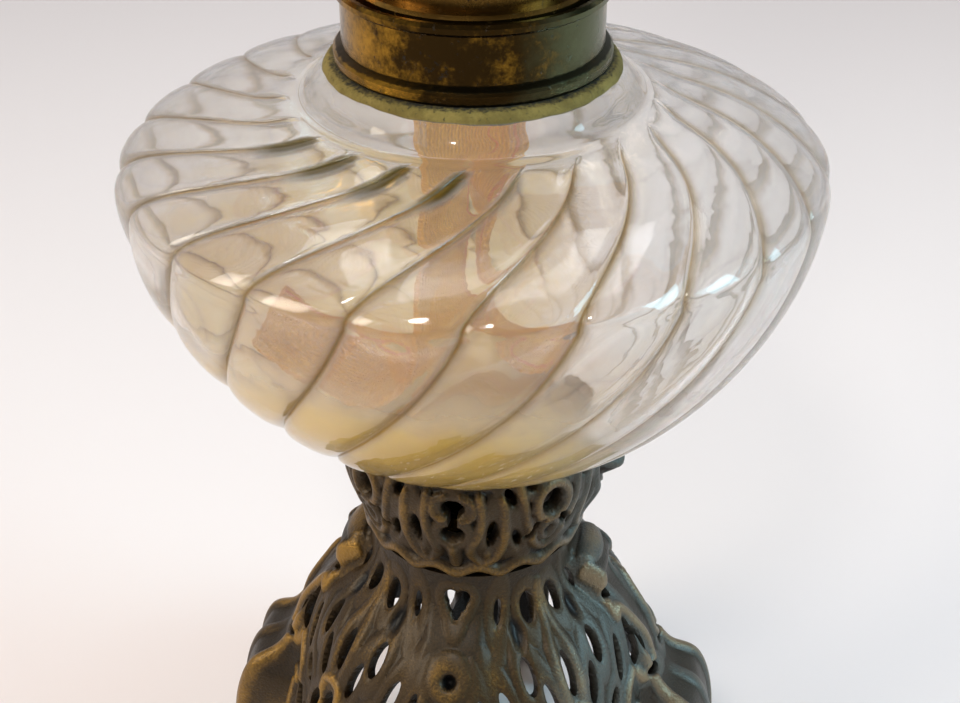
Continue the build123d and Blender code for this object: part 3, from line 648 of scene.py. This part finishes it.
# Profiles (r, z) of the pedestal between its legs and down a leg, half the leg's width along it, and the cup's
# profile. Legs stand every quarter turn from LEG_TURN degrees.
PANEL = [
    (29, 128), (29, 121), (31, 115), (36, 109), (41, 104), (45, 98), (48.5, 90), (51, 82), (52.5, 75), (54, 69),
    (56, 62), (58, 54), (60, 46), (62, 38), (63.5, 30), (65, 22), (66, 15), (66.5, 9), (66.5, 4)]
LEG_LOW = [
    (50, 93), (53, 85), (56.5, 79), (60, 75.5), (67, 71), (71, 61), (72.5, 48), (71, 36), (69, 26), (72, 16),
    (78.5, 10), (84.8, 5.5), (85.8, 0.2)]
LEG_PLAIN = [(29, 128), (29.2, 121.5), (32, 116), (37.5, 110), (42, 104.5), (45.8, 99.5)] + LEG_LOW
LEG_ROLLED = [(29, 128), (29.2, 123), (34, 120.5), (38.5, 116), (38.5, 110.5), (44, 102.5)] + LEG_LOW
LEG_HALF = [6, 6.5, 7, 7, 7.5, 8.5, 9.5, 10, 10.5, 11, 12, 12.5, 12.5, 12, 11.5, 11, 11, 11.5, 12]
LEG_TURN = -9.0
CUP = [
    (33.4, 162.4), (34.4, 158), (34.5, 152), (33.4, 146), (31.6, 140), (29.8, 134), (29, 130.5), (28.8, 127.6)]
PEDESTAL_WALL = 3.2
CUP_WALL = 3.0
# Relief mark of the castings' inner faces: painted shade, near black, with no rubbed gold
INSIDE_PAINTED_SHADE = 0.12


# Ovals (degrees, height, width, tallness, lean) that every quarter has on both sides of its leg: slits, pears
# and a fan of slots, and the arch between the legs.
PANEL_OVALS = [
    (21, 116.5, 2.0, 6.8, -8), (37, 116, 4.2, 8.2, -6), (12.5, 92, 3.0, 11.5, 13), (21, 93.5, 3.2, 13, 20),
    (29.5, 101.5, 3.8, 9.5, 8), (36.5, 93.5, 3.2, 12, 14), (45, 99, 3.2, 12), (29, 84, 3.4, 8, 30),
    (37.5, 78.5, 4.6, 11, -24), (45, 80, 4.6, 12), (26, 69, 5.5, 15, 22), (38, 64, 4.4, 9, -20),
    (18.5, 46, 6.5, 24, 4)]
ARCH = (45, 4, 63, 100)
ROLLED_OVALS = [(9, 90, 2.0, 9, -6), (8, 79, 7, 3.4, 25), (11, 104, 1.8, 6, -30)]
HEART_OVALS = [(3.2, 120.2, 3.8, 4.6), (1.8, 118.2, 3.4, 4.2), (0, 116.6, 2.6, 4.8)]


def panel_scrolls(chart):
    """Raised lines (distance, half width, height) that every quarter has: corner ribs, and S and C scrolls."""
    return [
        (chart.line([(45, 122), (44.5, 118), (43.5, 111), (41, 105), (41, 98), (42.5, 90)]), 1.8, 0.9),
        (chart.line([(17, 87), (22, 83.5), (25, 78), (22, 73), (18, 75)]), 1.7, 1.7),
        (chart.line([(45, 90), (41, 88), (41, 79), (42, 71), (36, 67.5), (32, 71)]), 1.7, 1.6),
        (chart.line([(18, 70), (19, 62), (22, 57), (21, 49), (18, 40)]), 1.8, 1.8),
    ]


def quarter_ornament(chart, leg_edge, rolled):
    """Distance outside the nearest opening, and the height of the raised work, of one quarter.

    A plain quarter has a heart over a ringed boss; a rolled one has a scroll roll and a looped lip. The other
    raised work is a rim round each opening, the arch's band, the leg's borders and its spine."""
    ovals = PANEL_OVALS + [ARCH] + (ROLLED_OVALS if rolled else HEART_OVALS)
    scrolls = panel_scrolls(chart)
    if rolled:
        lip = [(15, 114), (12, 108), (13, 101), (8, 97), (5, 88), (6, 81), (12, 80), (15, 85)]
        scrolls += [(chart.line(lip), 1.6, 1.6), (chart.oval(0, 115.5, 12, 5) + 2.5, 4.0, 1.2)]
    else:
        scrolls += [(np.abs(chart.oval(0, 102, 8, 8)), 2.6, 0.8)]
    metal = np.minimum.reduce([chart.oval(*oval) for oval in ovals])
    rim = bead(np.abs(metal - 1.2), 1.4, 0.5)
    arch = bead(np.abs(chart.oval(*ARCH) - 3), 2.8, 1.7)
    leg_border = bead(np.abs(leg_edge - 1), 1.8, 1.5) * smooth_step(92, 84, chart.height)
    spine = bead(np.abs(chart.offset(0, 0)[0]), 2.0, 0.9) * smooth_step(74, 66, chart.height)
    dent = 1.3 * smooth_step(1.2, -1.2, chart.oval(29, 110.5, 3, 5.5))
    raised = np.maximum.reduce([bead(*scroll) for scroll in scrolls] + [rim, arch, leg_border, spine])
    dimple = 0 if rolled else 2.4 * smooth_step(1.2, -1.4, chart.oval(0, 102, 2.8, 2.8))
    return metal, (raised - dent - dimple) * smooth_step(-0.2, 0.5, metal)


def make_pedestal():
    """Four quarters: panel and leg profiles, blended across the leg's width, raised by the ornament."""
    rows, columns = 300, 150
    panel = smooth_line(PANEL, rows)[:, None]
    half = smooth_line(np.column_stack([LEG_HALF, LEG_HALF]), rows)[:, :1]
    degrees = np.linspace(-45, 45, columns)[None, :] + np.zeros((rows, 1))
    edge = half - np.abs(panel[..., 0] * np.radians(degrees))
    weight = smooth_step(-4, 1, edge)[..., None]
    chart = Chart(np.abs(degrees), panel[..., 0] + 0 * degrees, panel[..., 1] + 0 * degrees)
    for quarter in range(4):
        rolled = quarter % 2 == 1
        leg = smooth_line(LEG_ROLLED if rolled else LEG_PLAIN, rows)[:, None]
        radius, height = np.moveaxis(panel + weight * (leg - panel), -1, 0)
        metal, relief = quarter_ornament(chart, edge, rolled)
        place, faces = cut_grid(metal)
        # Relief mark: high on raised work and round openings as rubbed wear and painted highlight; where it is
        # low the casting is painted near black as shade
        wear_and_painted_light = np.clip(0.3 + relief / 2.8 + 0.2 * np.exp(-np.clip(metal, 0, 9) / 0.9), 0, 1)
        angle = np.radians(degrees + LEG_TURN + 90 * quarter)
        base = np.stack([radius * np.sin(angle), -radius * np.cos(angle), height], -1)
        normal = surface_normals(base)
        outer = read_grid(base + normal * relief[..., None], place)
        inner = read_grid(base - normal * PEDESTAL_WALL, place)
        outer[:, 2], inner[:, 2] = np.maximum(outer[:, 2], 0), np.maximum(inner[:, 2], 0)
        points, shell = walled(outer, inner, faces)
        marks = {"relief": np.concatenate([read_grid(wear_and_painted_light, place), np.full(len(inner), INSIDE_PAINTED_SHADE)])}
        name = f"pedestal_quarter_{quarter + 1}"
        make_piece(name, points, shell, "base", bronze, ["pedestal"], marks, crease=60)


# Ovals of the cup: two stacked holes with a stem over each plain leg, and those on both sides of every leg
KEY_OVALS = [(0, 155.2, 6.2, 5.0), (0, 151.4, 2.4, 8), (0, 147.2, 6.2, 5.4)]
CUP_OVALS = [
    (17, 146, 3.0, 10, -3), (25, 158, 2.6, 5.5, 24), (45, 153.5, 6.4, 7.4), (36.5, 145, 2.4, 8, -34),
    (29, 143, 2.2, 7.5, 16), (35, 160.6, 3.4, 4)]
SCALLOPS = 16


def make_cup():
    """Cup wall with scrolls over and between the legs, a knob over each rolled leg, and a scalloped foot."""
    rows, columns = 84, 480
    profile = smooth_line(CUP, rows)[:, None]
    degrees = np.linspace(0, 360, columns + 1)[None, :] + np.zeros((rows, 1))
    local = (degrees + 45) % 90 - 45
    over_roll = (((degrees + 45) // 90) % 2).astype(bool)
    height = profile[..., 1] + 0 * degrees
    chart = Chart(np.abs(local), profile[..., 0] + 0 * degrees, height)
    knob = np.where(over_roll, 5.5, 0.0) * smooth_step(1.0, -3.2, chart.oval(0, 151.5, 10.5, 10.5))
    bulge = 1.8 * smooth_step(3.5, -5, chart.oval(0, 144, 17, 13)) + knob
    key_hole = np.minimum.reduce([chart.oval(*oval) for oval in KEY_OVALS])
    openings = [np.where(over_roll, chart.oval(0, 141.5, 5.5, 4), key_hole)]
    openings += [chart.oval(*oval) for oval in CUP_OVALS]
    foot = height - 129.6 + 1.3 * np.cos(np.radians(degrees * SCALLOPS))
    metal = np.minimum(np.minimum.reduce(openings), foot)
    scrolls = [
        (chart.line([(3.5, 159), (8, 157.5), (9, 154), (5.5, 151.8), (2.6, 152.4)]), 1.4, 1.5),
        (chart.line([(11.5, 159), (12.5, 153), (11, 147.5), (7.5, 143), (8, 138.5), (11.5, 135)]), 1.5, 1.7),
        (chart.line([(0, 143), (0.1, 134.5)]), 1.7, 1.8),
        (chart.line([(15, 139), (15.5, 135)]), 1.4, 1.5),
        (chart.line([(21.5, 158), (22.5, 150), (22.5, 143), (20, 137), (15, 134.5)]), 1.7, 1.8),
        (np.abs(chart.oval(45, 153.5, 10, 11)), 1.7, 1.9),
        (chart.line([(29, 161), (31, 155), (32.5, 149), (37, 141), (41, 137.5), (45, 136.5)]), 1.6, 1.7),
        (chart.line([(45, 146.5), (41, 144.5), (42, 141), (45, 140)]), 1.3, 1.4),
        (np.abs(height - 161.8) + 0 * degrees, 1.4, 0.8),
        (np.abs(foot - 1.9), 2.3, 2.0),
    ]
    rim = bead(np.abs(metal - 1.2), 1.6, 0.9)
    relief = np.maximum.reduce([bead(*scroll) for scroll in scrolls] + [rim]) * smooth_step(-0.2, 0.4, metal)
    angle = np.radians(degrees + LEG_TURN)
    radius = profile[..., 0] + bulge
    base = np.stack([radius * np.sin(angle), -radius * np.cos(angle), height], -1)
    normal = surface_normals(base)
    place, faces = cut_grid(metal)
    outer = read_grid(base + normal * relief[..., None], place)
    inner = read_grid(base - normal * CUP_WALL, place)
    points, shell = walled(outer, inner, faces)
    # Relief mark: high on raised work and round openings as rubbed wear and painted highlight; where it is low
    # the casting is painted near black as shade
    wear_and_painted_light = np.clip(0.2 + relief / 4.0 + 0.12 * np.exp(-np.clip(metal, 0, 9) / 0.9), 0, 1)
    marks = {"relief": np.concatenate([read_grid(wear_and_painted_light, place), np.full(len(inner), INSIDE_PAINTED_SHADE)])}
    make_piece("pierced_cup", points, shell, "base", bronze, ["font_cup"], marks, crease=60)


# Wicks and plaster

# Tapes: top, width and thickness, length of one weave pattern, level of the bowl's bed, and the routes of the
# solids from the tube's foot down into the font
WICK_TOP = COLLAR + 65
WICK_SIZE = (25, 2.7)
WEAVE_STEP = 2.2
BED = FONT_FLOOR + 5
FRONT_ROUTE = [
    (0, -5.5, COLLAR + 4), (-6, -7, COLLAR - 25), (-8, -7, COLLAR - 50), (-10, -7, BED + 24),
    (-16, -7, BED + 13), (-27, -7, BED + 10), (-41, -7, BED + 19), (-52, -7, BED + 31)]
BACK_ROUTE = [
    (0, 5.5, COLLAR + 4), (1, 11, COLLAR - 25), (1, 11, COLLAR - 50), (4, 11, BED + 24), (10, 11, BED + 11),
    (21, 11, BED + 6.5), (36, 11, BED + 12.5)]


def make_wick(name, node, route, turns, turned_by):
    """Flat tape: a rounded oblong carried straight down its tube and then along the route in the font.

    Below the tube its width turns by so many quarters of a circle, done by a share of the tail."""
    steps, columns, tube_points = 220, 48, 8
    x, y, tube_foot = route[0]
    levels = np.linspace(WICK_TOP, tube_foot, tube_points)
    straight = np.column_stack([np.full(tube_points, x), np.full(tube_points, y), levels])
    path = smooth_line(np.vstack([straight[:-1], route]), steps)
    run = np.concatenate([[0], np.cumsum(np.linalg.norm(np.diff(path, axis=0), axis=1))])
    in_tube = WICK_TOP - tube_foot
    tail = np.clip((run - in_tube) / (run[-1] - in_tube), 0, 1)
    turn = turns * math.pi / 2 * smooth_step(0, turned_by, tail)
    ahead = np.gradient(path, axis=0)
    ahead /= np.linalg.norm(ahead, axis=1)[:, None]
    across = np.column_stack([np.cos(turn), np.sin(turn), 0 * turn])
    across -= ahead * (across * ahead).sum(1)[:, None]
    across /= np.linalg.norm(across, axis=1)[:, None]
    out = np.cross(ahead, across)
    ring = np.linspace(0, FULL, columns, endpoint=False)
    wide = WICK_SIZE[0] / 2 * np.sign(np.cos(ring)) * np.abs(np.cos(ring)) ** 0.35
    thick = WICK_SIZE[1] / 2 * np.sign(np.sin(ring)) * np.abs(np.sin(ring)) ** 0.6
    points = path[:, None] + wide[:, None] * across[:, None] + thick[:, None] * out[:, None]
    caps = [path[:1, None] + 0 * points[:1], path[-1:, None] + 0 * points[-1:]]
    points = np.concatenate([caps[0], points, caps[1]])
    run = np.concatenate([run[:1], run, run[-1:]])
    u, v = np.broadcast_arrays(wide / WICK_SIZE[0] + 0.5, run[:, None] / WEAVE_STEP)
    uv = np.stack([u, v], -1).reshape(-1, 2)
    faces = net_faces(steps + 2, columns, False, True).tolist()
    piece = make_piece(name, points, faces, node, cotton, [node], uv=uv, crease=70)


def make_plaster():
    """Plaster in the collar, squeezed out in a rough band over the glass under the flange."""
    profile = smooth_line([
        (29, COLLAR + 1), (33, COLLAR - 0.05), (34.2, COLLAR - 0.3), (35.1, COLLAR - 1.2), (35.6, COLLAR - 2.3),
        (35.1, COLLAR - 2.5), (34.2, COLLAR - 1.6), (32, COLLAR - 0.7), (29, COLLAR + 0.2)], 60)
    columns = 240
    turn = np.arange(columns) * FULL / columns
    ragged = 0.3 * np.sin(3 * turn + 1) + 0.12 * np.sin(11 * turn) + 0.06 * np.sin(31 * turn + 2)
    low = smooth_step(COLLAR - 0.4, COLLAR - 2.2, profile[:, 1:])
    r, z = profile[:, :1] + 0.6 * low * ragged, profile[:, 1:] - low * ragged
    points = np.stack([r * np.sin(turn), -r * np.cos(turn), z + 0 * turn], -1)
    faces = net_faces(len(profile), columns, True, True).tolist()
    make_piece("plaster_band", points, faces, "base", plaster)


make_font()
make_plaster()
make_pedestal()
make_cup()
make_wick("wick_tape_front", "wick_front", FRONT_ROUTE, turns=0.7, turned_by=0.22)
make_wick("wick_tape_back", "wick_back", BACK_ROUTE, turns=-1, turned_by=0.55)


# Floor, lights and camera

def pale_floor():
    """Plain matt floor."""
    finish = Finish("pale_floor")
    return finish.cover({"Base Color": tint(234, 226, 225), "Roughness": 0.9})


def add_floor():
    """Flat square under the lamp."""
    mesh = bpy.data.meshes.new("floor")
    half = 3
    corners = [(-half, -half, 0), (half, -half, 0), (half, half, 0), (-half, half, 0)]
    mesh.from_pydata(corners, [], [(0, 1, 2, 3)])
    mesh.materials.append(pale_floor())
    floor = bpy.data.objects.new("floor", mesh)
    bpy.context.scene.collection.objects.link(floor)


def add_light(name, place, aim, size, power, colour, shape="SQUARE", fan=180):
    """Soft box turned to a point, with a grid that holds its light to a fan of so many degrees.

    Place, aim and size are in metres, and power is in watts."""
    light = bpy.data.lights.new(name, "AREA")
    light.shape = shape
    light.size = size
    light.energy = power
    light.color = colour
    light.spread = math.radians(fan)
    holder = bpy.data.objects.new(name, light)
    holder.location = place
    reach = np.array(aim) - np.array(place)
    flat = math.hypot(reach[0], reach[1])
    holder.rotation_euler = (math.atan2(flat, -reach[2]), 0, math.atan2(reach[1], reach[0]) - math.pi / 2)
    bpy.context.scene.collection.objects.link(holder)


def add_world():
    """Pale surroundings, darker on the camera's side of the room."""
    world = bpy.data.worlds.new("soft_room")
    world.use_nodes = True
    tree = world.node_tree
    back = tree.nodes["Background"]
    way = tree.nodes.new("ShaderNodeTexCoord")
    parts = tree.nodes.new("ShaderNodeSeparateXYZ")
    fade = tree.nodes.new("ShaderNodeMapRange")
    tree.links.new(way.outputs["Generated"], parts.inputs[0])
    tree.links.new(parts.outputs["Y"], fade.inputs["Value"])
    for key, value in (("From Min", -0.7), ("From Max", 0.3), ("To Min", 0.26), ("To Max", 0.6)):
        fade.inputs[key].default_value = value
    tree.links.new(fade.outputs["Result"], back.inputs["Strength"])
    back.inputs["Color"].default_value = (0.86, 0.84, 0.86, 1)
    bpy.context.scene.world = world


def add_camera():
    """Camera at the photograph's place, looking down at the font and the base."""
    lens = bpy.data.cameras.new("camera")
    lens.lens = 57.8
    lens.sensor_width = 36
    lens.clip_start = 0.01
    camera = bpy.data.objects.new("camera", lens)
    camera.location = (0.0016, -0.34495, 0.40089)
    camera.rotation_euler = (math.radians(57.5), 0, 0)
    bpy.context.scene.collection.objects.link(camera)
    bpy.context.scene.camera = camera


add_floor()
add_light("warm_window", (-1.5, -0.7, 1.1), (0, 0, 0.17), 0.9, 5.4, (1.0, 0.9, 0.74), fan=90)
add_light("cool_window", (1.5, -0.5, 0.95), (0, 0, 0.13), 0.8, 5.2, (0.52, 0.85, 1.0), fan=90)
add_light("over_head", (0, 0.25, 1.3), (0, 0, 0.2), 0.8, 5.0, (1.0, 0.98, 0.97))
add_light("round_lamp", (-0.2, -0.7, 1.0), (0, 0, 0.22), 0.17, 3.2, (1.0, 0.97, 0.92), "DISK")
add_world()
add_camera()
bpy.context.scene.view_settings.view_transform = "Standard"
